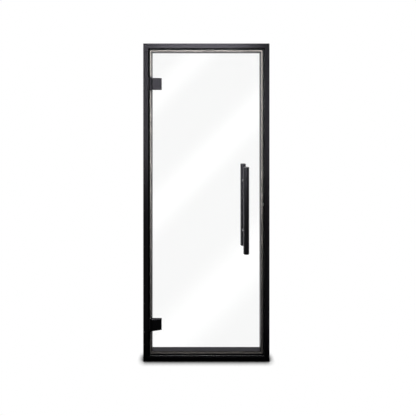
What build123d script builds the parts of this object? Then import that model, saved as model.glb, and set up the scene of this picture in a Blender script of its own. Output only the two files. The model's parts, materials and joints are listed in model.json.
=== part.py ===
from build123d import *
import math
import os

# A glass door in its own frame: a four-sided hollow profile frame, mitred at the corners,
# with a clear toughened leaf on two clamp hinges and a bar handle on both faces.
# Millimetres. X runs right, Y runs into the doorway, Z up. The leaf opens towards -Y.
# The origin is the middle of the sill's underside.

# Frame, outside
frame_width = 790.0
frame_height = 1990.0
frame_depth = 57.0

# Frame profile: u runs in from the outside, v runs back from the front face
lip_width = 30.0
rebate_depth = 13.0
stop_width = 10.0
seal_seat_drop = 8.0
seal_width = 9.2
seal_side_gap = 0.15
reveal_ledge = 3.0
profile_wall = 2.0
front_edge_radius = 1.0
mitre_gap = 0.15

# Seal groove behind the stop
groove_slot = 3.4
groove_cavity = 6.4
groove_lip = 1.5
groove_cavity_depth = 3.0
groove_floor = 1.6
seal_fit_gap = 0.2
seal_wall = 1.3
seal_joint_gap = 0.6
seal_joint_height = 981.0

# Corner cleats in the outer chamber
cleat_leg = 70.0
cleat_gap = 0.2
cleat_rib = 4.0

# Fixing holes through the jambs
fixing_hole_radius = 3.5
driver_hole_radius = 6.5
fixing_end_distance = 150.0
fixing_depth_from_back = 17.0

# Glass leaf
glass_thickness = 8.0
glass_setback = 2.0
glass_edge_gap = 4.0
glass_seal_gap = 0.8
glass_corner_radius = 3.0
glass_edge_arris = 0.8

# Hinges: the pin stands in front of the frame so that the leaf can swing right back
lower_hinge_height = 236.0
upper_hinge_from_top = 254.0
pin_from_outside = 47.0
pin_forward = 8.5
pin_radius = 4.0
barrel_radius = 8.0
barrel_height = 74.0
cover_reach = 108.0
cover_free_thickness = 5.0
cover_bevel = 4.0
pin_to_glass_edge = 4.0
gasket_thickness = 1.0
gasket_inset = 1.0
back_plate_thickness = 5.0
back_plate_height = 58.0
back_plate_bevel = 2.0
back_plate_reveal_gap = 2.7
lug_thickness = 3.0
hinge_running_gap = 0.3
pin_running_gap = 0.05
pressed_gap = 0.02
bush_flange = 0.8
bush_wall = 1.0
bush_length = 14.0
bush_flange_radius = 7.2
block_width = 9.5
block_front_setback = 0.5
pin_end_chamfer = 0.6

# Hinge screws
clamp_screw_radius = 3.0
clamp_screw_spacing = 40.0
clamp_screw_head_radius = 6.0
clamp_hole_radius = 8.0
clamp_thread_depth = 6.0
block_screw_radius = 2.5
block_screw_spacing = 44.0
block_screw_head_radius = 5.0
block_screw_length = 18.0
socket_across = 4.0
socket_depth = 2.5
sleeve_gap = 0.3

# Handle
bar_radius = 17.5
bar_wall = 1.5
bar_length = 525.0
bar_from_lock_side = 155.0
bar_centre_height = 964.0
bar_stand_off = 61.0
bar_cap_thickness = 3.0
bar_cap_plug = 8.0
bar_cap_chamfer = 1.0
post_radius = 10.0
post_spacing = 315.0
post_spigot_radius = 6.0
post_base_chamfer = 0.8
washer_thickness = 1.0
washer_radius = 12.5
stud_radius = 4.0
stud_engagement = 22.0
handle_hole_radius = 7.0
grub_radius = 2.5
grub_from_glass = 12.0

# Magnet catch in the lock jamb's stop
catch_height = 981.0
catch_from_outside = 35.0
catch_body_width = 5.6
catch_body_height = 20.0
catch_body_depth = 9.0
catch_flange_rim = 0.4
catch_flange_thickness = 1.4
magnet_width = 3.6
magnet_height = 14.0
magnet_depth = 5.0
magnet_proud = 0.4
keeper_thickness = 0.8
keeper_width = 4.6
keeper_inset = 0.4

# Places that follow from the sizes above
half_width = frame_width / 2
front_y = -frame_depth / 2
stop_edge = lip_width + stop_width
seat_depth = rebate_depth + seal_seat_drop
sight_width = stop_edge + seal_side_gap + seal_width + reveal_ledge
groove_back = seat_depth + groove_lip + groove_cavity_depth + groove_floor
groove_centre = stop_edge + seal_side_gap + seal_width / 2
glass_front = front_y + glass_setback
glass_back = glass_front + glass_thickness
glass_left = -half_width + pin_from_outside - pin_to_glass_edge
glass_right = half_width - lip_width - glass_edge_gap
glass_low = lip_width + glass_edge_gap
glass_high = frame_height - lip_width - glass_edge_gap
pin_x = -half_width + pin_from_outside
pin_y = front_y - pin_forward
cover_back_y = glass_front - gasket_thickness
back_plate_y = glass_back + gasket_thickness
plate_end_x = -half_width + cover_reach
back_plate_left = -half_width + sight_width + back_plate_reveal_gap
clamp_screw_x = (back_plate_left + plate_end_x) / 2
hinge_heights = {"lower": lower_hinge_height, "upper": frame_height - upper_hinge_from_top}
lug_offset = barrel_height / 2 + bush_flange + hinge_running_gap
bar_x = half_width - bar_from_lock_side
post_heights = [bar_centre_height + side * post_spacing / 2 for side in (-1, 1)]

# How far a cutting tool runs past the face it opens
overrun = 1.0

os.makedirs("parts", exist_ok=True)


def save(name, shape):
    export_step(shape, f"parts/{name}.step")


def upright(outline, bottom, height):
    """A closed outline in plan, given as XY points, raised from bottom by height."""
    with BuildPart() as body:
        with BuildSketch(Plane.XY.offset(bottom)):
            with BuildLine():
                Polyline(*outline, close=True)
            make_face()
        extrude(amount=height)
    return body.part


def rod(centre, direction, radius, length):
    """A round bar that starts at centre and runs along direction."""
    return Plane(origin=centre, z_dir=direction) * Cylinder(
        radius, length, align=(Align.CENTER, Align.CENTER, Align.MIN)
    )


def slab(low, high):
    """A box between two corners."""
    size = [high[axis] - low[axis] for axis in range(3)]
    return Pos(*low) * Box(*size, align=(Align.MIN, Align.MIN, Align.MIN))


def mirrored(shape):
    return mirror(shape, about=Plane.YZ)


# Frame profile and members


def profile_face():
    """The profile's section, with its two chambers and the seal groove, drawn in u and v."""
    outline = [
        (0, 0),
        (lip_width, 0),
        (lip_width, rebate_depth),
        (stop_edge, rebate_depth),
        (stop_edge, seat_depth),
        (sight_width, seat_depth),
        (sight_width, frame_depth),
        (0, frame_depth),
    ]
    web_face = lip_width - profile_wall
    chamber_front = rebate_depth + profile_wall
    inner_chamber = [
        (lip_width, chamber_front),
        (stop_edge - profile_wall, chamber_front),
        (stop_edge - profile_wall, groove_back),
        (sight_width - profile_wall, groove_back),
        (sight_width - profile_wall, frame_depth - profile_wall),
        (lip_width, frame_depth - profile_wall),
    ]
    with BuildSketch() as section:
        with BuildLine():
            Polyline(*outline, close=True)
        make_face()
        front_corners = section.vertices().sort_by(Axis.Y)[:2]
        fillet(front_corners, front_edge_radius)
        with Locations((profile_wall, profile_wall)):
            Rectangle(
                web_face - profile_wall,
                frame_depth - 2 * profile_wall,
                align=(Align.MIN, Align.MIN),
                mode=Mode.SUBTRACT,
            )
        with BuildLine():
            Polyline(*inner_chamber, close=True)
        make_face(mode=Mode.SUBTRACT)
        with Locations((groove_centre, seat_depth)):
            Rectangle(
                groove_slot, groove_lip, align=(Align.CENTER, Align.MIN), mode=Mode.SUBTRACT
            )
        with Locations((groove_centre, seat_depth + groove_lip)):
            Rectangle(
                groove_cavity,
                groove_cavity_depth,
                align=(Align.CENTER, Align.MIN),
                mode=Mode.SUBTRACT,
            )
    return section.sketch


def frame_member(length):
    """A profile standing along Z with u on X and v on Y, mitred at both ends."""
    bar = extrude(profile_face(), amount=length)
    gap = mitre_gap / 2
    mitre = [
        (0, gap),
        (frame_depth, frame_depth + gap),
        (frame_depth, length - frame_depth - gap),
        (0, length - gap),
    ]
    with BuildPart() as wedge:
        with BuildSketch(Plane.XZ):
            with BuildLine():
                Polyline(*mitre, close=True)
            make_face()
        extrude(amount=-frame_depth)
    return bar & wedge.part


def jamb():
    """The hinge-side jamb in place, with its fixing holes."""
    member = Pos(-half_width, front_y, 0) * frame_member(frame_height)
    hole_y = -front_y - fixing_depth_from_back
    for height in fixing_heights():
        start = (-half_width - overrun, hole_y, height)
        member -= rod(start, (1, 0, 0), fixing_hole_radius, lip_width / 2)
        start = (-half_width + lip_width / 2, hole_y, height)
        member -= rod(start, (1, 0, 0), driver_hole_radius, sight_width)
    return member


def fixing_heights():
    """Four holes up each jamb, evenly spaced between the two end ones."""
    span = frame_height - 2 * fixing_end_distance
    return [fixing_end_distance + span * step / 3 for step in range(4)]


def corner_cleat():
    """An angle in the outer chamber that joins two members, with a window in each leg."""
    low = profile_wall + cleat_gap
    high = lip_width - profile_wall - cleat_gap
    angle = [(low, low), (cleat_leg, low), (cleat_leg, high), (high, high)]
    angle += [(high, cleat_leg), (low, cleat_leg)]
    height = frame_depth - 2 * (profile_wall + cleat_gap)
    window = (high - low - 2 * cleat_rib, cleat_leg - high - 2 * cleat_rib)
    middle = (high + cleat_leg) / 2
    with BuildPart() as cleat:
        with BuildSketch(Plane.XZ):
            with BuildLine():
                Polyline(*angle, close=True)
            make_face()
            with Locations((middle, (low + high) / 2)):
                RectangleRounded(window[1], window[0], cleat_rib / 2, mode=Mode.SUBTRACT)
            with Locations(((low + high) / 2, middle)):
                RectangleRounded(window[0], window[1], cleat_rib / 2, mode=Mode.SUBTRACT)
        extrude(amount=-height)
    return Pos(0, front_y + low, 0) * cleat.part


def seal_face(with_foot):
    """The seal's section: a hollow bulb on the seat, and its neck and foot in the groove."""
    crest = glass_setback + glass_thickness + glass_seal_gap
    round_radius = seal_width / 2
    side_height = seat_depth - crest - round_radius
    neck = groove_slot - 2 * seal_fit_gap
    foot = groove_cavity - 2 * seal_fit_gap
    with BuildSketch() as section:
        with Locations((groove_centre, seat_depth - side_height / 2)):
            Rectangle(seal_width, side_height)
        with Locations((groove_centre, seat_depth - side_height)):
            Circle(round_radius)
            Circle(round_radius - seal_wall, mode=Mode.SUBTRACT)
        hollow = side_height - seal_wall
        with Locations((groove_centre, seat_depth - side_height + hollow / 2)):
            Rectangle(seal_width - 2 * seal_wall, hollow, mode=Mode.SUBTRACT)
        if with_foot:
            with Locations((groove_centre, seat_depth)):
                Rectangle(neck, groove_lip + seal_fit_gap, align=(Align.CENTER, Align.MIN))
            with Locations((groove_centre, seat_depth + groove_lip + seal_fit_gap)):
                Rectangle(
                    foot,
                    groove_cavity_depth - 2 * seal_fit_gap,
                    align=(Align.CENTER, Align.MIN),
                )
    return section.sketch


def seal_ring():
    """One length of seal turned round all four corners, its ends meeting on the lock side.

    The foot is cut away at the corners, where the bulb alone bends round.
    """
    inner = groove_centre + seal_width / 2
    face = seal_face(with_foot=True)
    turn = revolve(seal_face(with_foot=False), Axis((inner, 0, 0), (0, 1, 0)), 90)
    ring = None
    for corner in range(4):
        length = (frame_height if corner % 2 == 0 else frame_width) - 2 * inner
        run = Pos(0, 0, inner) * extrude(face, amount=length)
        quarter = Pos(0, 0, inner + length) * turn
        side = Pos(*ring_place(corner)) * Rot(0, 90 * corner, 0) * (run + quarter)
        ring = side if ring is None else ring + side
    cut = slab(
        (half_width - sight_width, front_y, seal_joint_height - seal_joint_gap / 2),
        (half_width, -front_y, seal_joint_height + seal_joint_gap / 2),
    )
    return ring - cut


def ring_place(corner):
    """The outside corner from which each side of the seal starts, going round."""
    return [
        (-half_width, front_y, 0),
        (-half_width, front_y, frame_height),
        (half_width, front_y, frame_height),
        (half_width, front_y, 0),
    ][corner]


# Glass leaf


def glass_pane():
    """The leaf, with its clamp and handle holes, arrissed all round."""
    width, height = glass_right - glass_left, glass_high - glass_low
    with BuildPart() as pane:
        with BuildSketch(Plane.XZ.offset(-glass_front)):
            with Locations(((glass_left + glass_right) / 2, (glass_low + glass_high) / 2)):
                RectangleRounded(width, height, glass_corner_radius)
        extrude(amount=-glass_thickness)
        rims = pane.faces().sort_by(Axis.Y)
        chamfer(rims[0].edges() + rims[-1].edges(), glass_edge_arris)
    leaf = pane.part
    for middle in hinge_heights.values():
        for height in clamp_screw_heights(middle):
            leaf -= rod(
                (clamp_screw_x, glass_front - overrun, height),
                (0, 1, 0),
                clamp_hole_radius,
                glass_thickness + 2 * overrun,
            )
    for height in post_heights:
        leaf -= rod(
            (bar_x, glass_front - overrun, height),
            (0, 1, 0),
            handle_hole_radius,
            glass_thickness + 2 * overrun,
        )
    return leaf


# Hinges


def clamp_screw_heights(middle):
    return [middle + side * clamp_screw_spacing / 2 for side in (-1, 1)]


def block_screw_heights(middle):
    return [middle + side * block_screw_spacing / 2 for side in (-1, 1)]


def hinge_cover(middle):
    """The front half of the clamp: a barrel round the pin and a plate that thins away from it."""
    free_front_y = cover_back_y - cover_free_thickness
    reach = plate_end_x - pin_x
    rise = free_front_y - pin_y
    slope = math.atan2(rise, reach) + math.asin(barrel_radius / math.hypot(rise, reach))
    tangent = (
        pin_x + barrel_radius * math.sin(slope),
        pin_y - barrel_radius * math.cos(slope),
    )
    outline = [
        tangent,
        (plate_end_x, free_front_y),
        (plate_end_x, cover_back_y),
        (glass_left, cover_back_y),
        (glass_left, pin_y),
    ]
    bottom = middle - barrel_height / 2
    plate = upright(outline, bottom, barrel_height)
    front = plate.faces().sort_by(Axis.Y)[0]
    plate = chamfer(front.edges().sort_by(Axis.X)[1:], cover_bevel)
    barrel = rod((pin_x, pin_y, bottom), (0, 0, 1), barrel_radius, barrel_height)
    rims = barrel.edges().filter_by(GeomType.CIRCLE)
    body = plate + chamfer(rims, pin_end_chamfer)
    bore_radius = pin_radius + pin_running_gap + bush_wall + pressed_gap
    bore_length = barrel_height + 2 * overrun
    body -= rod((pin_x, pin_y, bottom - overrun), (0, 0, 1), bore_radius, bore_length)
    for height in clamp_screw_heights(middle):
        body -= rod(
            (clamp_screw_x, cover_back_y, height),
            (0, -1, 0),
            clamp_screw_radius + pressed_gap,
            clamp_thread_depth,
        )
    return body


def hinge_back_plate(middle):
    """The inner half of the clamp, with countersunk holes and bevelled edges."""
    half = back_plate_height / 2
    plate = slab(
        (back_plate_left, back_plate_y, middle - half),
        (plate_end_x, back_plate_y + back_plate_thickness, middle + half),
    )
    back = plate.faces().sort_by(Axis.Y)[-1]
    plate = chamfer(back.edges(), back_plate_bevel)
    for height in clamp_screw_heights(middle):
        plate -= rod(
            (clamp_screw_x, back_plate_y - overrun, height),
            (0, 1, 0),
            clamp_screw_radius + sleeve_gap,
            back_plate_thickness + 2 * overrun,
        )
        plate -= countersink(height, sleeve_gap)
    return plate


def countersink(height, gap):
    """The cone of a clamp screw's head, flush with the back of the inner plate."""
    depth = clamp_screw_head_radius - clamp_screw_radius
    back = back_plate_y + back_plate_thickness
    return Plane(origin=(clamp_screw_x, back - depth, height), z_dir=(0, 1, 0)) * Cone(
        clamp_screw_radius + gap,
        clamp_screw_head_radius + gap,
        depth,
        align=(Align.CENTER, Align.CENTER, Align.MIN),
    )


def hinge_gasket(middle, plate_height, left, face_y):
    """A soft sheet between the glass and one half of the clamp, cut out for the screws."""
    half = plate_height / 2 - gasket_inset
    sheet = slab(
        (left + gasket_inset, face_y, middle - half),
        (plate_end_x - gasket_inset, face_y + gasket_thickness, middle + half),
    )
    for height in clamp_screw_heights(middle):
        sheet -= rod(
            (clamp_screw_x, face_y - overrun, height),
            (0, 1, 0),
            clamp_screw_radius + sleeve_gap,
            gasket_thickness + 2 * overrun,
        )
    return sheet


def clamp_screws(middle):
    """Two countersunk socket screws from the inner plate into the cover."""
    tip = cover_back_y - clamp_thread_depth + sleeve_gap
    back = back_plate_y + back_plate_thickness
    screws = []
    for height in clamp_screw_heights(middle):
        shank = rod(
            (clamp_screw_x, tip, height), (0, 1, 0), clamp_screw_radius, back - tip - sleeve_gap
        )
        screw = shank + countersink(height, 0)
        screws.append(screw - hex_socket((clamp_screw_x, back, height), (0, -1, 0)))
    return Compound(children=screws)


def hex_socket(mouth, inward):
    """A hexagon recess that starts at mouth and runs inward."""
    with BuildPart() as recess:
        with BuildSketch(Plane(origin=mouth, z_dir=inward)):
            RegularPolygon(socket_across / 2, 6, major_radius=False)
        extrude(amount=socket_depth)
    return recess.part


def glass_sleeves(x, heights, hole_radius, inner_radius):
    """Soft sleeves that keep the screws off the glass."""
    sleeves = []
    for height in heights:
        ring = rod((x, glass_front, height), (0, 1, 0), hole_radius - sleeve_gap, glass_thickness)
        bore = rod((x, glass_front, height), (0, 1, 0), inner_radius, glass_thickness)
        sleeves.append(ring - bore)
    return Compound(children=sleeves)


def hinge_bushes(middle):
    """A flanged bush at each end of the barrel."""
    bushes = []
    inner = pin_radius + pin_running_gap
    for side in (-1, 1):
        end = middle + side * barrel_height / 2
        flange = rod((pin_x, pin_y, end), (0, 0, side), bush_flange_radius, bush_flange)
        sleeve = rod((pin_x, pin_y, end), (0, 0, -side), inner + bush_wall, bush_length)
        start = (pin_x, pin_y, end + side * bush_flange)
        bushes.append(flange + sleeve - rod(start, (0, 0, -side), inner, bush_length + bush_flange))
    return Compound(children=bushes)


def hinge_block(middle):
    """The frame half: a block in the rebate with a lug above and below the barrel."""
    left = -half_width + lip_width
    right = left + block_width
    front = front_y + block_front_setback
    back = front_y + rebate_depth
    half = lug_offset + lug_thickness
    block = slab((left, front, middle - half), (right, back, middle + half))
    neck = [
        (left, front),
        (left, back),
        (right, back),
        (right, front),
        (pin_x, pin_y + barrel_radius),
        (pin_x, pin_y),
        (pin_x - barrel_radius, pin_y),
    ]
    for side in (-1, 1):
        bottom = middle + side * lug_offset - (lug_thickness if side < 0 else 0)
        eye = rod((pin_x, pin_y, bottom), (0, 0, 1), barrel_radius, lug_thickness)
        block += eye + upright(neck, bottom, lug_thickness)
    start = (pin_x, pin_y, middle - half - overrun)
    block -= rod(start, (0, 0, 1), pin_radius + pressed_gap, 2 * (half + overrun))
    for height in block_screw_heights(middle):
        block -= block_screw_space(height)
    return block


def block_screw_parts(height, gap):
    """The shank and head cone of a block screw, grown by gap."""
    head_x = -half_width + lip_width + block_width
    screw_y = front_y + (block_front_setback + rebate_depth) / 2
    depth = block_screw_head_radius - block_screw_radius
    shank = rod(
        (head_x, screw_y, height), (-1, 0, 0), block_screw_radius + gap, block_screw_length
    )
    head = Plane(origin=(head_x - depth, screw_y, height), z_dir=(1, 0, 0)) * Cone(
        block_screw_radius + gap,
        block_screw_head_radius + gap,
        depth,
        align=(Align.CENTER, Align.CENTER, Align.MIN),
    )
    return shank + head


def block_screw_space(height):
    return block_screw_parts(height, pressed_gap)


def block_screws(middle):
    """Two countersunk screws that hold the block to the side of the front lip."""
    head_x = -half_width + lip_width + block_width
    screw_y = front_y + (block_front_setback + rebate_depth) / 2
    return Compound(
        children=[
            block_screw_parts(height, 0) - hex_socket((head_x, screw_y, height), (-1, 0, 0))
            for height in block_screw_heights(middle)
        ]
    )


def hinge_pin(middle):
    half = lug_offset + lug_thickness
    pin = rod((pin_x, pin_y, middle - half), (0, 0, 1), pin_radius, 2 * half)
    return chamfer(pin.edges().filter_by(GeomType.CIRCLE), pin_end_chamfer)


# Handle: the outer set lies towards -Y, the inner set towards +Y


def handle_set(side):
    """Bar, end caps, posts and washers on one face of the glass, side -1 outside, 1 inside."""
    face = glass_front if side < 0 else glass_back
    bar_y = face + side * bar_stand_off
    low = bar_centre_height - bar_length / 2
    tube_low = low + bar_cap_thickness
    tube_length = bar_length - 2 * bar_cap_thickness
    inner_radius = bar_radius - bar_wall
    tube = rod((bar_x, bar_y, tube_low), (0, 0, 1), bar_radius, tube_length)
    tube -= rod((bar_x, bar_y, tube_low), (0, 0, 1), inner_radius, tube_length)
    for height in post_heights:
        hole_radius = post_spigot_radius + pressed_gap
        tube -= rod((bar_x, bar_y, height), (0, -side, 0), hole_radius, bar_radius + overrun)
    caps = [
        bar_cap((bar_x, bar_y, tube_low), (0, 0, -1), inner_radius),
        bar_cap((bar_x, bar_y, tube_low + tube_length), (0, 0, 1), inner_radius),
    ]
    posts = [handle_post(height, side, face, bar_y, inner_radius) for height in post_heights]
    washers = []
    for height in post_heights:
        disc = rod((bar_x, face, height), (0, side, 0), washer_radius, washer_thickness)
        hole = rod((bar_x, face, height), (0, side, 0), stud_radius + sleeve_gap, washer_thickness)
        washers.append(disc - hole)
    return tube, caps, posts, washers


def bar_cap(seat, outward, inner_radius):
    """A turned end cap: a chamfered disc with a plug that presses into the tube."""
    disc = rod(seat, outward, bar_radius, bar_cap_thickness)
    rim = disc.edges().filter_by(GeomType.CIRCLE)
    rim = rim.sort_by(Axis.Z)[-1 if outward[2] > 0 else 0]
    disc = chamfer(rim, bar_cap_chamfer)
    inward = (0, 0, -outward[2])
    return disc + rod(seat, inward, inner_radius - pressed_gap, bar_cap_plug)


def handle_post(height, side, face, bar_y, inner_radius):
    """A turned post, hollowed to the bar's curve, with a spigot through the tube's wall."""
    start = face + side * washer_thickness
    post = rod((bar_x, start, height), (0, side, 0), post_radius, abs(bar_y - start))
    base = post.edges().filter_by(GeomType.CIRCLE).sort_by(Axis.Y)[0 if side > 0 else -1]
    post = chamfer(base, post_base_chamfer)
    saddle_low = (bar_x, bar_y, height - post_radius - overrun)
    post -= rod(saddle_low, (0, 0, 1), bar_radius, 2 * (post_radius + overrun))
    spigot = rod((bar_x, start, height), (0, side, 0), post_spigot_radius, abs(bar_y - start))
    spigot -= rod(
        (bar_x, bar_y, height - post_radius), (0, 0, 1), inner_radius, 2 * post_radius
    )
    post += spigot
    post -= rod(
        (bar_x, start - side * overrun, height),
        (0, side, 0),
        stud_radius + pressed_gap,
        stud_engagement + overrun,
    )
    if side > 0:
        grub_y = face + side * grub_from_glass
        bore_radius = grub_radius + pressed_gap
        post -= rod((bar_x, grub_y, height), (0, 0, -1), bore_radius, post_radius + overrun)
    return post


def handle_studs():
    """Studs through the glass that hold the two sets together."""
    reach = stud_engagement - sleeve_gap
    start = glass_front - washer_thickness - reach
    length = glass_thickness + 2 * washer_thickness + 2 * reach
    return [rod((bar_x, start, height), (0, 1, 0), stud_radius, length) for height in post_heights]


def handle_grub_screws():
    """Socket grub screws in the underside of the inner posts, tight on the studs."""
    grub_y = glass_back + grub_from_glass
    screws = []
    for height in post_heights:
        bottom = height - post_radius + pin_end_chamfer
        screw = rod((bar_x, grub_y, bottom), (0, 0, 1), grub_radius, height - stud_radius - bottom)
        bore = rod((bar_x, grub_y, bottom), (0, 0, 1), grub_radius / 2, socket_depth)
        screws.append(screw - bore)
    return Compound(children=screws)


# Magnet catch


def catch_space(width, height, front, depth):
    """A block on the catch's centre line, from front back into the lock jamb."""
    centre = half_width - catch_from_outside
    return slab(
        (centre - width / 2, front, catch_height - height / 2),
        (centre + width / 2, front + depth, catch_height + height / 2),
    )


def catch_parts():
    """The catch's holder in the stop, its magnet, and the steel keeper on the glass."""
    stop_y = front_y + rebate_depth
    flange_front = stop_y - catch_flange_thickness
    flange = catch_space(
        catch_body_width + 2 * catch_flange_rim,
        catch_body_height + 2 * catch_flange_rim,
        flange_front,
        catch_flange_thickness,
    )
    body = catch_space(catch_body_width, catch_body_height, stop_y, catch_body_depth)
    pocket = catch_space(
        magnet_width + 2 * pressed_gap,
        magnet_height + 2 * pressed_gap,
        flange_front,
        magnet_depth,
    )
    holder = flange + body - pocket
    magnet_front = flange_front - magnet_proud
    magnet = catch_space(magnet_width, magnet_height, magnet_front, magnet_depth + magnet_proud)
    keeper_right = glass_right - glass_edge_arris - keeper_inset
    keeper = slab(
        (keeper_right - keeper_width, glass_back, catch_height - catch_body_height / 2),
        (keeper_right, glass_back + keeper_thickness, catch_height + catch_body_height / 2),
    )
    return holder, magnet, keeper


# Frame

hinge_jamb = jamb()
for middle in hinge_heights.values():
    for height in block_screw_heights(middle):
        hinge_jamb -= block_screw_space(height)
lock_jamb = mirrored(jamb()) - catch_space(
    catch_body_width + 2 * pressed_gap,
    catch_body_height + 2 * pressed_gap,
    front_y + rebate_depth - overrun,
    catch_body_depth + overrun,
)
save("hinge_jamb", hinge_jamb)
save("lock_jamb", lock_jamb)
rail = frame_member(frame_width)
save("head_rail", Pos(-half_width, front_y, frame_height) * Rot(0, 90, 0) * rail)
save("sill_rail", Pos(half_width, front_y, 0) * Rot(0, -90, 0) * rail)
save("frame_seal", seal_ring())

cleat = corner_cleat()
for name, turn, place in (
    ("hinge_side_low", 0, (-half_width, 0)),
    ("hinge_side_high", 90, (-half_width, frame_height)),
    ("lock_side_high", 180, (half_width, frame_height)),
    ("lock_side_low", 270, (half_width, 0)),
):
    save(f"cleat_{name}", Pos(place[0], 0, place[1]) * Rot(0, turn, 0) * cleat)

for name, middle in hinge_heights.items():
    save(f"hinge_block_{name}", hinge_block(middle))
    save(f"hinge_block_screws_{name}", block_screws(middle))
    save(f"hinge_pin_{name}", hinge_pin(middle))

catch_holder, catch_magnet, catch_keeper = catch_parts()
save("catch_holder", catch_holder)
save("catch_magnet", catch_magnet)

# Leaf

save("glass_pane", glass_pane())
save("catch_keeper", catch_keeper)
for name, middle in hinge_heights.items():
    save(f"hinge_cover_{name}", hinge_cover(middle))
    save(f"hinge_back_plate_{name}", hinge_back_plate(middle))
    front_gasket = hinge_gasket(middle, barrel_height, glass_left, cover_back_y)
    save(f"hinge_front_gasket_{name}", front_gasket)
    back_gasket = hinge_gasket(middle, back_plate_height, back_plate_left, glass_back)
    save(f"hinge_back_gasket_{name}", back_gasket)
    save(f"hinge_clamp_screws_{name}", clamp_screws(middle))
    save(f"hinge_bushes_{name}", hinge_bushes(middle))
    sleeves = glass_sleeves(
        clamp_screw_x,
        clamp_screw_heights(middle),
        clamp_hole_radius,
        clamp_screw_radius + sleeve_gap,
    )
    save(f"hinge_glass_sleeves_{name}", sleeves)

for name, side in (("outer", -1), ("inner", 1)):
    tube, caps, posts, washers = handle_set(side)
    save(f"handle_{name}_bar", tube)
    for place, cap in zip(("low", "high"), caps):
        save(f"handle_{name}_cap_{place}", cap)
    for place, post in zip(("low", "high"), posts):
        save(f"handle_{name}_post_{place}", post)
    save(f"handle_{name}_washers", Compound(children=washers))
for place, stud in zip(("low", "high"), handle_studs()):
    save(f"handle_stud_{place}", stud)
save("handle_grub_screws", handle_grub_screws())
save(
    "handle_glass_sleeves",
    glass_sleeves(bar_x, post_heights, handle_hole_radius, stud_radius + sleeve_gap),
)
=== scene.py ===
import json
import math

import bmesh
import bpy
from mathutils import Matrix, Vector


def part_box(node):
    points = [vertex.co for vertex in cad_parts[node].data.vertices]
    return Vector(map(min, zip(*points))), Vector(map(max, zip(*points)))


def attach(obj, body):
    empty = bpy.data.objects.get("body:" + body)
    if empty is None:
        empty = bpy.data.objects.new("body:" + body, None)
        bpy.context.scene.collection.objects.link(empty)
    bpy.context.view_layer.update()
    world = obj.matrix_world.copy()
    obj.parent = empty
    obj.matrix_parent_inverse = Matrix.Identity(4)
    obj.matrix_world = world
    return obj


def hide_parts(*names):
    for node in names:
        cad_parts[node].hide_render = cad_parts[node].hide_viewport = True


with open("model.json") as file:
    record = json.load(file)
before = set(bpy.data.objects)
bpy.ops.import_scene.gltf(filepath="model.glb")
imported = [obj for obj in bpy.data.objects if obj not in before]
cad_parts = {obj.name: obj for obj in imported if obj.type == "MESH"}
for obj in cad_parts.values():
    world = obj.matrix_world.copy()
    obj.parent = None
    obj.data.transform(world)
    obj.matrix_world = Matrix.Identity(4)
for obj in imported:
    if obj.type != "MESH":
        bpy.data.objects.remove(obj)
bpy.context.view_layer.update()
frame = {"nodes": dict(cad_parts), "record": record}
nodes = frame["nodes"]

bpy.ops.object.select_all(action="DESELECT")

# Lengths are in metres, in the part's own axes: X right, Y into the doorway, Z up.
# Where a value has two limits, it changes smoothly from the first to the second.

# Turn that lays an upright bar level, and points a camera straight into the doorway
LEVEL_TURN = (math.pi / 2, 0.0, 0.0)

# Camera, held level, with its lens shifted down
CAMERA_PLACE = (-0.073, -2.0285, 1.568)
CAMERA_LENS = 27.68
CAMERA_SENSOR = 36.0
CAMERA_SHIFT = (0.032, -0.2334)

# Soft lamp panel, between the camera and the door
LAMP_PLACE = (-0.04, -0.50, 1.94)
LAMP_AIM = (-0.08, 0.0, 1.80)
LAMP_SIZE = (0.77, 1.82)
LAMP_POWER = 9.8

# Room, dark in front of the door and white behind it, by the direction of a ray
AMBIENT = 0.01
ROOM_GLOSS = 0.04
BACKDROP = 1.0
HORIZON_LIMITS = (-0.05, 0.25)
CEILING_LIMITS = (0.15, 0.75)
CEILING_DROP = 0.55
WHITE = (1.0, 1.0, 1.0)

# Painted reflections of the pane, put in the backdrop where it is seen through the glass: where
# each streak crosses (across - up) / into, half width, strength
PAINTED_REFLECTION_STREAKS = (
    (-0.160, 0.085, 0.08),
    (0.192, 0.115, 0.10),
    (0.640, 0.160, 0.10),
)
STREAK_LIMITS = (0.3, 0.6)
LEAST_INTO = 0.05
# Even painted brightening of the backdrop seen through the pane, part of the same painted
# reflection
PAINTED_PANE_LIFT = 0.018

# Floor, and the limits of its parts behind the door and well in front of it
FLOOR_SIZE = 24.0
FLOOR_COLOUR = (0.50, 0.50, 0.50)
FLOOR_GLOSS = 0.06
FLOOR_BEHIND = (-0.02, 0.10)
FLOOR_AHEAD = (-0.10, -0.45)

# Contact shadow: its reach, and how open the view from its darkest place still is
CONTACT_REACH = 0.040
CONTACT_SAMPLES = 12
CONTACT_OPENNESS = 0.5

# Frame section and the pane's ground edges, as far as the finishes and the painted shade in the
# rebate follow them
LIP_WIDTH = 0.030
SEAL_SEAT = 0.021
REBATE_SIDE = (LIP_WIDTH - 0.0012, LIP_WIDTH - 0.0002)
REBATE_FRONT = (0.0010, 0.0025)
REBATE_BACK = (SEAL_SEAT + 0.0002, SEAL_SEAT - 0.0008)
EDGE_GRIND = 0.0008

# Powder coats: roughness, sheen, and how many grains of orange peel to the metre
FRAME_COAT = (0.417, 0.76, 1500.0)
HINGE_COAT = (0.40, 0.46, 1700.0)
HANDLE_COAT = (0.36, 0.95, 1700.0)
SHEEN_TINT = (0.90, 0.86, 1.0)

# Roughness of the other finishes, and how far each finish's roughness varies
COAT_SPREAD = 0.05
# Roughness of the painted shade in the rebate, which stands in for its shadow gap
REBATE_PAINTED_SHADE_ROUGHNESS = 0.9
SEAL_ROUGHNESS = 0.74
SEAL_SPREAD = 0.06
GLASS_EDGE_ROUGHNESS = 0.35
STEEL_ROUGHNESS = 0.26
STEEL_SPREAD = 0.12
ALUMINIUM_ROUGHNESS = 0.38
ALUMINIUM_SPREAD = 0.10
PLASTIC_ROUGHNESS = 0.48
RUBBER_ROUGHNESS = 0.72
MOULDED_SPREAD = 0.08

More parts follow.
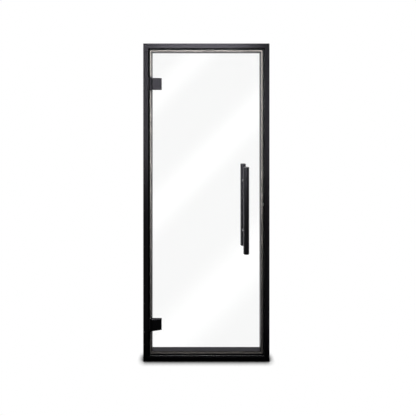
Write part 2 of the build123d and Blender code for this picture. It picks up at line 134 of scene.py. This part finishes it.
# Colours of the finishes, or the darkest and the lightest shade where a finish varies
COAT_SHADES = ((0.0040, 0.0040, 0.0046), (0.0060, 0.0058, 0.0062))
# Painted shade in the rebate: a darker colour that stands in for the shadow gap round the glass
REBATE_PAINTED_SHADE = (0.003, 0.003, 0.0034)
SEAL_SHADES = ((0.240, 0.219, 0.207), (0.256, 0.234, 0.222))
GLASS_COLOUR = (0.994, 0.998, 0.996)
GLASS_EDGE_COLOUR = (0.62, 0.84, 0.78)
GLASS_SHADOW_COLOUR = (0.92, 0.93, 0.925)
STEEL_SHADES = ((0.46, 0.46, 0.47), (0.60, 0.60, 0.61))
ALUMINIUM_SHADES = ((0.50, 0.50, 0.51), (0.64, 0.64, 0.65))
PLASTIC_SHADES = ((0.018, 0.018, 0.019), (0.026, 0.026, 0.027))
RUBBER_SHADES = ((0.012, 0.012, 0.012), (0.020, 0.020, 0.020))

# Surface grain: patches to the metre across the lines and along them, and depth of the bump
NOISE_ROUGHNESS = 0.55
STEEL_LINES = (2200.0, 60.0)
ALUMINIUM_LINES = (900.0, 30.0)
COAT_PEEL_DEPTH = 0.00003
SKIN_DEPTH = 0.00002
STEEL_LINE_DEPTH = 0.00001
ALUMINIUM_LINE_DEPTH = 0.00002

# Hinge covers: the plate starts this far right of the pin, and ends this far past its solid
COVER_START = 0.0095
COVER_EXTRA = 0.0078
COVER_FREE_THICKNESS = 0.0055
COVER_SLOPE = 0.235
COVER_BEVEL = 0.0042
WEB_FORWARD = 0.0035
BARREL_RADIUS = 0.008
BARREL_BORE = 0.00507
CLAMP_SCREW_SPACING = 0.040
CLAMP_SCREW_HOLE = 0.00302
CLAMP_SCREW_DEPTH = 0.006
BAR_SIDES = 96
SELECT_SLACK = 0.0001
WELD_DISTANCE = 0.00003
SMOOTH_ANGLE = math.radians(30)


def middle_of(low, high):
    """The middle of a box, from two opposite corners."""
    return [(low[axis] + high[axis]) / 2 for axis in range(3)]


# Shader maths


class Wire:
    """A value in a node tree. Arithmetic on it adds Math nodes."""

    def __init__(self, tree, socket):
        self.tree = tree
        self.socket = socket

    def math(self, operation, *values, clamp=False):
        """A Math node on the values, in their order."""
        settings = {"operation": operation, "use_clamp": clamp}
        made = add_node(self.tree, "ShaderNodeMath", settings, dict(enumerate(values)))
        return Wire(self.tree, made.outputs[0])

    def __add__(self, other):
        return self.math("ADD", self, other)

    def __radd__(self, other):
        return self.math("ADD", other, self)

    def __sub__(self, other):
        return self.math("SUBTRACT", self, other)

    def __rsub__(self, other):
        return self.math("SUBTRACT", other, self)

    def __mul__(self, other):
        return self.math("MULTIPLY", self, other)

    def __rmul__(self, other):
        return self.math("MULTIPLY", other, self)

    def __truediv__(self, other):
        return self.math("DIVIDE", self, other)

    def __rtruediv__(self, other):
        return self.math("DIVIDE", other, self)

    def size(self):
        """The value without its sign."""
        return self.math("ABSOLUTE", self)

    def clipped(self):
        """The value held between 0 and 1."""
        return self.math("ADD", self, 0.0, clamp=True)

    def larger(self, other):
        return self.math("MAXIMUM", self, other)

    def smaller(self, other):
        return self.math("MINIMUM", self, other)

    def ramp(self, start, end):
        """0 before start, 1 past end, and smooth between. start may be above end."""
        falls = start > end
        made = add_node(
            self.tree,
            "ShaderNodeMapRange",
            {"interpolation_type": "SMOOTHSTEP"},
            {
                "Value": self,
                "From Min": min(start, end),
                "From Max": max(start, end),
                "To Min": float(falls),
                "To Max": float(not falls),
            },
        )
        return Wire(self.tree, made.outputs["Result"])


def add_node(tree, kind, settings=None, inputs=None):
    """Adds a node: its settings first, then a value or a link for each socket that is named."""
    made = tree.nodes.new(kind)
    for name, value in (settings or {}).items():
        setattr(made, name, value)
    for name, value in (inputs or {}).items():
        slot = made.inputs[name]
        if isinstance(value, Wire):
            tree.links.new(value.socket, slot)
        elif slot.type == "RGBA":
            slot.default_value = (*value, 1.0)
        else:
            slot.default_value = value
    return made


class Finish:
    """The node tree of a material or of the room, with the calls that the finishes share."""

    def __init__(self, owner):
        owner.use_nodes = True
        self.owner = owner
        self.tree = owner.node_tree
        self.tree.nodes.clear()

    def node(self, kind, settings=None, inputs=None, output=0):
        made = add_node(self.tree, kind, settings, inputs)
        return Wire(self.tree, made.outputs[output])

    def place(self):
        """The point's own coordinates, in metres."""
        return self.node("ShaderNodeTexCoord", output="Object")

    def axes(self, point):
        """A point or a direction as three values: across, into and up."""
        made = add_node(self.tree, "ShaderNodeSeparateXYZ", inputs={"Vector": point})
        return [Wire(self.tree, part) for part in made.outputs]

    def ray(self, fact):
        return self.node("ShaderNodeLightPath", output=fact)

    def lines(self, patches, along):
        """Noise drawn out along one axis, from its patches to the metre across and along."""
        sideways, lengthways = patches
        scale = [lengthways if axis == along else sideways for axis in range(3)]
        drawn_out = self.node(
            "ShaderNodeMapping", inputs={"Vector": self.place(), "Scale": scale}
        )
        return self.noise(drawn_out, scale=1.0, detail=2.0)

    def noise(self, point, scale, detail):
        return self.node(
            "ShaderNodeTexNoise",
            inputs={
                "Vector": point,
                "Scale": scale,
                "Detail": detail,
                "Roughness": NOISE_ROUGHNESS,
            },
        )

    def blend(self, share, first, second):
        """A colour between first and second."""
        colours = {"Factor": share, 6: first, 7: second}
        return self.node("ShaderNodeMix", {"data_type": "RGBA"}, colours, output=2)

    def mixed(self, share, first, second):
        """A shader between first and second."""
        return self.node("ShaderNodeMixShader", inputs={0: share, 1: first, 2: second})

    def bump(self, height, depth, strength):
        return self.node(
            "ShaderNodeBump", inputs={"Height": height, "Distance": depth, "Strength": strength}
        )

    def principled(self, **inputs):
        named = {name.replace("_", " "): value for name, value in inputs.items()}
        return self.node("ShaderNodeBsdfPrincipled", inputs=named)

    def surface(self, shader):
        kind = "World" if isinstance(self.owner, bpy.types.World) else "Material"
        add_node(self.tree, f"ShaderNodeOutput{kind}", inputs={"Surface": shader})
        return self.owner


# Finishes


def satin_coat(paint, roughness, sheen, grain):
    """A fine blue-black powder coat: faint orange peel, and a slow drift in its sheen."""
    point = paint.place()
    peel = paint.noise(point, scale=grain, detail=2.0)
    drift = paint.noise(point, scale=3.0, detail=2.0)
    handled = paint.noise(point, scale=38.0, detail=4.0)
    return paint.principled(
        Base_Color=paint.blend(drift, *COAT_SHADES),
        Roughness=roughness + (drift - 0.5) * COAT_SPREAD + (handled - 0.5) * COAT_SPREAD,
        Specular_IOR_Level=sheen,
        Specular_Tint=SHEEN_TINT,
        Normal=paint.bump(peel, COAT_PEEL_DEPTH, strength=0.6),
    )


def satin_black(name, coat):
    paint = Finish(bpy.data.materials.new(name))
    return paint.surface(satin_coat(paint, *coat))


def frame_coat(name):
    """The coat on the frame, with painted shade in the rebate where the glass shuts: darker, with
    little sheen.
    """
    paint = Finish(bpy.data.materials.new(name))
    coat = satin_coat(paint, *FRAME_COAT)
    low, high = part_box("head_rail")
    across, into, up = paint.axes(paint.place())
    from_side = high[0] - across.size()
    from_outside = from_side.smaller(up).smaller(high[2] - up)
    depth = into - low[1]
    # Mask of the painted shade: the rebate's faces behind the lip and in front of the seal
    rebate = from_outside.ramp(*REBATE_SIDE)
    rebate = rebate * depth.ramp(*REBATE_FRONT) * depth.ramp(*REBATE_BACK)
    # Painted shade: a darker shader with little sheen stands in for the shadow in the rebate
    painted_shade = paint.principled(
        Base_Color=REBATE_PAINTED_SHADE, Roughness=REBATE_PAINTED_SHADE_ROUGHNESS, Specular_IOR_Level=0.10
    )
    return paint.surface(paint.mixed(rebate, coat, painted_shade))


def seal_rubber(name):
    """Light warm grey rubber with a dull skin."""
    skin = Finish(bpy.data.materials.new(name))
    point = skin.place()
    bloom = skin.noise(point, scale=14.0, detail=4.0)
    fine = skin.noise(point, scale=900.0, detail=2.0)
    shader = skin.principled(
        Base_Color=skin.blend(bloom, *SEAL_SHADES),
        Roughness=SEAL_ROUGHNESS + (bloom - 0.5) * SEAL_SPREAD,
        Specular_IOR_Level=0.22,
        Normal=skin.bump(fine, SKIN_DEPTH, strength=0.5),
    )
    return skin.surface(shader)


def clear_glass(name, node):
    """Clear float glass, green along its ground edges. Lamps shine through it."""
    pane = Finish(bpy.data.materials.new(name))
    low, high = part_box(node)
    across, _, up = pane.axes(pane.place())
    middle = middle_of(low, high)
    beside = (across - middle[0]).size() - (high[0] - low[0]) / 2
    above = (up - middle[2]).size() - (high[2] - low[2]) / 2
    edge = beside.larger(above).ramp(-EDGE_GRIND, -EDGE_GRIND / 2)
    shader = pane.principled(
        Base_Color=pane.blend(edge, GLASS_COLOUR, GLASS_EDGE_COLOUR),
        Roughness=edge * GLASS_EDGE_ROUGHNESS,
        IOR=1.5,
        Transmission_Weight=1.0,
    )
    lamp_light = pane.ray("Is Shadow Ray")
    clear = pane.node("ShaderNodeBsdfTransparent", inputs={"Color": GLASS_SHADOW_COLOUR})
    return pane.surface(pane.mixed(lamp_light, shader, clear))


def brushed_steel(name, along):
    """Stainless steel with fine lines, drawn out along one axis."""
    metal = Finish(bpy.data.materials.new(name))
    lines = metal.lines(STEEL_LINES, along)
    shader = metal.principled(
        Base_Color=metal.blend(lines, *STEEL_SHADES),
        Metallic=1.0,
        Roughness=STEEL_ROUGHNESS + lines * STEEL_SPREAD,
        Normal=metal.bump(lines, STEEL_LINE_DEPTH, strength=0.4),
    )
    return metal.surface(shader)


def mill_aluminium(name):
    """Uncoated extruded aluminium."""
    metal = Finish(bpy.data.materials.new(name))
    lines = metal.lines(ALUMINIUM_LINES, along=1)
    shader = metal.principled(
        Base_Color=metal.blend(lines, *ALUMINIUM_SHADES),
        Metallic=1.0,
        Roughness=ALUMINIUM_ROUGHNESS + lines * ALUMINIUM_SPREAD,
        Normal=metal.bump(lines, ALUMINIUM_LINE_DEPTH, strength=0.4),
    )
    return metal.surface(shader)


def moulded(name, shades, roughness):
    """Moulded plastic or rubber with a fine spark-eroded skin."""
    skin = Finish(bpy.data.materials.new(name))
    point = skin.place()
    fine = skin.noise(point, scale=1400.0, detail=2.0)
    cloud = skin.noise(point, scale=60.0, detail=2.0)
    shader = skin.principled(
        Base_Color=skin.blend(cloud, *shades),
        Roughness=roughness + (cloud - 0.5) * MOULDED_SPREAD,
        Specular_IOR_Level=0.4,
        Normal=skin.bump(fine, SKIN_DEPTH, strength=0.5),
    )
    return skin.surface(shader)


hinge_black = satin_black("hinge_black", HINGE_COAT)
handle_black = satin_black("handle_black", HANDLE_COAT)
steel_level = brushed_steel("steel_level", along=1)

FINISHES = {
    "frame": frame_coat("frame_black"),
    "hardware": hinge_black,
    "seal": seal_rubber("seal_grey"),
    "glass": clear_glass("pane_glass", "glass_pane"),
    "steel": brushed_steel("steel_upright", along=2),
    "cleat": mill_aluminium("cleat_metal"),
    "plastic": moulded("black_plastic", PLASTIC_SHADES, PLASTIC_ROUGHNESS),
    "gasket": moulded("black_rubber", RUBBER_SHADES, RUBBER_ROUGHNESS),
}
SLOTS = {part["node"]: part["material_slot"] for part in frame["record"]["subparts"]}


def finish_for(name):
    """The finish of a piece's slot, but level screws and studs and the handles have their own."""
    slot = SLOTS[name]
    if slot == "steel" and ("screws" in name or "stud" in name):
        return steel_level
    if slot == "hardware" and name.startswith("handle"):
        return handle_black
    return FINISHES[slot]


for name, node in nodes.items():
    node.data.materials.clear()
    node.data.materials.append(finish_for(name))


# Hinge covers


def select_where(test):
    """In edit mode, selects the vertices whose place passes the test."""
    mesh = bmesh.from_edit_mesh(bpy.context.object.data)
    bpy.ops.mesh.select_all(action="DESELECT")
    bpy.context.tool_settings.mesh_select_mode = (True, False, False)
    for vertex in mesh.verts:
        vertex.select = test(vertex.co)
    mesh.select_flush(True)
    bmesh.update_edit_mesh(bpy.context.object.data)


def block(low, high):
    """A box between two corners, with its place in its mesh."""
    bpy.ops.mesh.primitive_cube_add(size=1.0, location=middle_of(low, high))
    bpy.context.object.scale = [high[axis] - low[axis] for axis in range(3)]
    bpy.ops.object.transform_apply(location=True, rotation=False, scale=True)
    return bpy.context.object


def round_bar(centre, radius, length, turn=(0.0, 0.0, 0.0)):
    """An upright round bar, or one that is turned, with its place in its mesh."""
    bpy.ops.mesh.primitive_cylinder_add(
        vertices=BAR_SIDES, radius=radius, depth=length, location=centre, rotation=turn
    )
    bpy.ops.object.transform_apply(location=True, rotation=True, scale=True)
    return bpy.context.object


def combine(piece, other, operation):
    """Joins other to piece, or cuts it away, and removes other."""
    bpy.ops.object.select_all(action="DESELECT")
    piece.select_set(True)
    bpy.context.view_layer.objects.active = piece
    made = piece.modifiers.new(operation.lower(), "BOOLEAN")
    made.operation = operation
    made.solver = "EXACT"
    made.object = other
    bpy.ops.object.modifier_apply(modifier=made.name)
    bpy.data.objects.remove(other)


def tapered_plate(start, end, back, bottom, top):
    """A plate that thins from start to end, its front bevelled on all four edges."""
    end_front = back - COVER_FREE_THICKNESS
    start_front = end_front - (end - start) * COVER_SLOPE
    plate = block((start, start_front, bottom), (end, back, top))
    bpy.ops.object.mode_set(mode="EDIT")
    middle_x = (start + end) / 2
    middle_y = (start_front + back) / 2
    select_where(lambda place: place.x > middle_x and place.y < middle_y)
    bpy.ops.transform.translate(value=(0.0, end_front - start_front, 0.0))
    select_where(lambda place: place.y < end_front + SELECT_SLACK)
    bpy.ops.mesh.bevel(offset=COVER_BEVEL, offset_type="OFFSET", segments=1, affect="EDGES")
    bpy.ops.object.mode_set(mode="OBJECT")
    return plate


def hinge_cover(height_name):
    """The front of a clamp: a barrel round the pin, and a plate that a groove parts from it."""
    node = f"hinge_cover_{height_name}"
    low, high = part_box(node)
    pin_low, pin_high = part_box(f"hinge_pin_{height_name}")
    pin = middle_of(pin_low, pin_high)
    height = high[2] - low[2]
    back = high[1]
    start = pin[0] + COVER_START
    plate = tapered_plate(start, high[0] + COVER_EXTRA, back, low[2], high[2])

    web_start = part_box("glass_pane")[0][0]
    web_front = pin[1] - WEB_FORWARD
    web = block((web_start, web_front, low[2]), (start + COVER_BEVEL, back, high[2]))
    combine(plate, web, "UNION")
    combine(plate, round_bar(pin, BARREL_RADIUS, height), "UNION")
    combine(plate, round_bar(pin, BARREL_BORE, 2 * height), "DIFFERENCE")
    screw_low, screw_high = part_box(f"hinge_clamp_screws_{height_name}")
    screw_x = middle_of(screw_low, screw_high)[0]
    for side in (-1, 1):
        place = (screw_x, back, pin[2] + side * CLAMP_SCREW_SPACING / 2)
        hole = round_bar(place, CLAMP_SCREW_HOLE, 2 * CLAMP_SCREW_DEPTH, LEVEL_TURN)
        combine(plate, hole, "DIFFERENCE")

    bpy.ops.object.mode_set(mode="EDIT")
    bpy.ops.mesh.select_all(action="SELECT")
    bpy.ops.mesh.remove_doubles(threshold=WELD_DISTANCE)
    bpy.ops.mesh.normals_make_consistent(inside=False)
    bpy.ops.object.mode_set(mode="OBJECT")
    bpy.ops.object.shade_smooth_by_angle(angle=SMOOTH_ANGLE)
    return plate


def copy_above(piece, rise):
    """A copy with its own mesh, moved up in it."""
    bpy.ops.object.select_all(action="DESELECT")
    piece.select_set(True)
    bpy.context.view_layer.objects.active = piece
    bpy.ops.object.duplicate(linked=False)
    bpy.ops.transform.translate(value=(0.0, 0.0, rise))
    bpy.ops.object.transform_apply(location=True, rotation=False, scale=False)
    return bpy.context.object


lower_cover = hinge_cover("lower")
hinge_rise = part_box("hinge_cover_upper")[0][2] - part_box("hinge_cover_lower")[0][2]
upper_cover = copy_above(lower_cover, hinge_rise)
for height_name, plate in (("lower", lower_cover), ("upper", upper_cover)):
    node = f"hinge_cover_{height_name}"
    plate.name = plate.data.name = f"hinge_clamp_front_{height_name}"
    plate.data.materials.append(hinge_black)
    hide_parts(node)
    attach(plate, "leaf")


# Studio


def clear_path(owner):
    """Three facts about a ray, each 1 or 0.

    It came straight from the camera, or through glass alone; it met nothing that scatters it; and
    it last passed through glass.
    """
    camera = owner.ray("Is Camera Ray")
    through = owner.ray("Is Transmission Ray")
    mirrored = owner.ray("Glossy Depth")
    scattered = owner.ray("Diffuse Depth")
    straight = 1.0 - (mirrored + scattered).clipped()
    return camera.larger(through * straight), 1.0 - scattered.clipped(), through


def studio_world():
    """A white backdrop behind the part, and a dark room in front for what its faces mirror."""
    world = bpy.data.worlds.new("studio")
    bpy.context.scene.world = world
    room = Finish(world)
    direction = room.node("ShaderNodeTexCoord", output="Generated")
    across, into, up = room.axes(direction)
    clear, unscattered, through = clear_path(room)
    white = BACKDROP - up.ramp(*CEILING_LIMITS) * CEILING_DROP
    gloss_light = ROOM_GLOSS + into.ramp(*HORIZON_LIMITS) * (white - ROOM_GLOSS)
    # Painted reflections of the pane: soft streaks and an even lift, only on rays that came
    # through the glass
    slant = (across - up) / into.larger(LEAST_INTO)
    painted_reflections = 0.0
    for middle, half_width, strength in PAINTED_REFLECTION_STREAKS:
        painted_reflections = (slant - middle).size().ramp(half_width, 0.0) * strength + painted_reflections
    painted_reflections = painted_reflections * into.ramp(*STREAK_LIMITS)
    level = AMBIENT + unscattered * (gloss_light - AMBIENT)
    level = level + clear * (BACKDROP - level) + clear * through * (painted_reflections + PAINTED_PANE_LIFT)
    light = room.node("ShaderNodeBackground", inputs={"Color": WHITE, "Strength": level})
    room.surface(light)


def floor():
    """A plain pale floor that shows white, with the part's contact shadow.

    Seen through the glass it lets the backdrop show, and the frame mirrors it dimly in front.
    """
    bpy.ops.mesh.primitive_plane_add(size=FLOOR_SIZE)
    slab = bpy.context.object
    slab.name = "floor"
    ground = Finish(bpy.data.materials.new("floor_pale"))
    near = ground.node(
        "ShaderNodeAmbientOcclusion",
        {"samples": CONTACT_SAMPLES},
        {"Distance": CONTACT_REACH},
        output="AO",
    )
    shade = ((near - CONTACT_OPENNESS) / (1.0 - CONTACT_OPENNESS)).clipped()
    pale = ground.node("ShaderNodeBsdfDiffuse", inputs={"Color": FLOOR_COLOUR})
    _, into, _ = ground.axes(ground.place())
    clear, unscattered, through = clear_path(ground)
    glossy = ground.ray("Is Glossy Ray").larger(through)
    behind = into.ramp(*FLOOR_BEHIND)
    shows_white = clear.larger(glossy * unscattered * behind)
    in_front = glossy * unscattered * (1.0 - behind)
    dim = in_front * into.ramp(*FLOOR_AHEAD) * FLOOR_GLOSS
    strength = shade * BACKDROP * shows_white + dim
    white = ground.node("ShaderNodeEmission", inputs={"Color": WHITE, "Strength": strength})
    grey = ground.node(
        "ShaderNodeCombineColor", inputs={"Red": shade, "Green": shade, "Blue": shade}
    )
    backdrop = ground.node("ShaderNodeBsdfTransparent", inputs={"Color": grey})
    lit = ground.mixed(shows_white.larger(in_front), pale, white)
    slab.data.materials.append(ground.surface(ground.mixed(clear * through, lit, backdrop)))


def soft_lamp(name, place, aim, size, power):
    """A soft panel that lights the part and shows no image of itself in the pane."""
    bpy.ops.object.light_add(type="AREA", location=place)
    lamp = bpy.context.object
    lamp.name = name
    lamp.rotation_euler = (Vector(aim) - Vector(place)).to_track_quat("-Z", "Y").to_euler()
    lamp.data.shape = "RECTANGLE"
    lamp.data.size, lamp.data.size_y = size
    lamp.data.energy = power
    lamp.visible_camera = False
    lamp.data.cycles.use_multiple_importance_sampling = False


def camera():
    bpy.ops.object.camera_add(location=CAMERA_PLACE, rotation=LEVEL_TURN)
    eye = bpy.context.object
    eye.data.sensor_width = CAMERA_SENSOR
    eye.data.lens = CAMERA_LENS
    eye.data.shift_x, eye.data.shift_y = CAMERA_SHIFT
    bpy.context.scene.camera = eye


studio_world()
floor()
soft_lamp("key_lamp", LAMP_PLACE, LAMP_AIM, LAMP_SIZE, LAMP_POWER)
camera()
bpy.context.scene.view_settings.view_transform = "Standard"
